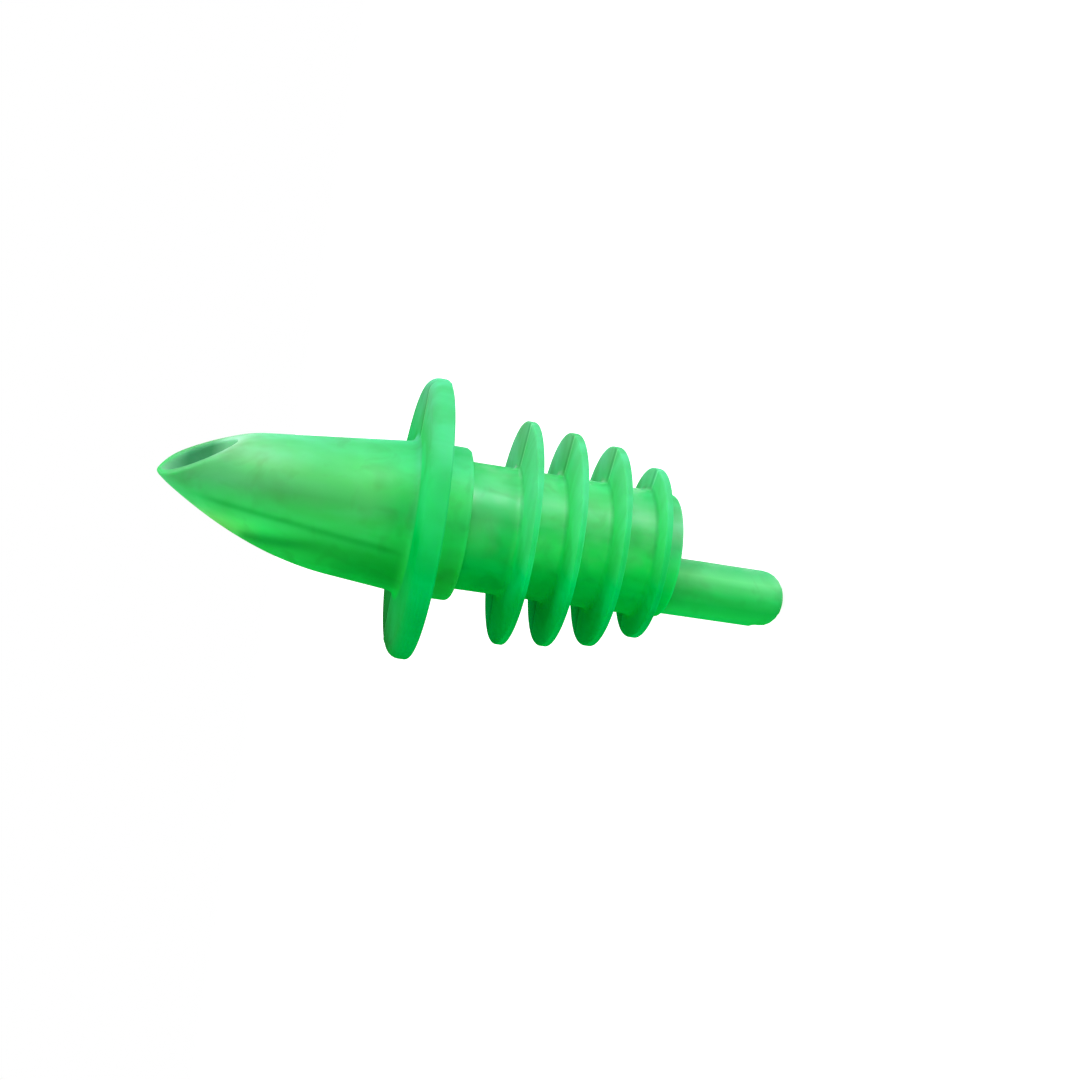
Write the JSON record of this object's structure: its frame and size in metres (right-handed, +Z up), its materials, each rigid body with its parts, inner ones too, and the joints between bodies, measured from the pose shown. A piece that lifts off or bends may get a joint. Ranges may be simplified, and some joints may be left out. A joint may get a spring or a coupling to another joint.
{
  "type": "liquor pour spout",
  "caption": "Translucent green plastic free-flow pour spout with a slanted mouth, a round flange, a finned stopper for a bottle neck and an off-centre breather tube.",
  "frame": {"origin": "where the stopper's axis crosses the flange's underside, at the centre of the bottle's lip", "axes": "+Z up the stopper's axis and out of the bottle, +X towards the side that the slanted mouth opens to; the vent and the breather tube are on the -X side"},
  "size_m": [0.0285, 0.0284, 0.0658],
  "materials": {
    "spout_plastic": "translucent, satin",
    "stopper_plastic": "translucent, polished core and satin fins",
    "tube_plastic": "translucent, polished"
  },
  "bodies": {
    "root": {"pour_spout": "spout_plastic", "finned_stopper": "stopper_plastic", "breather_tube": "tube_plastic"}
  },
  "joints": []
}
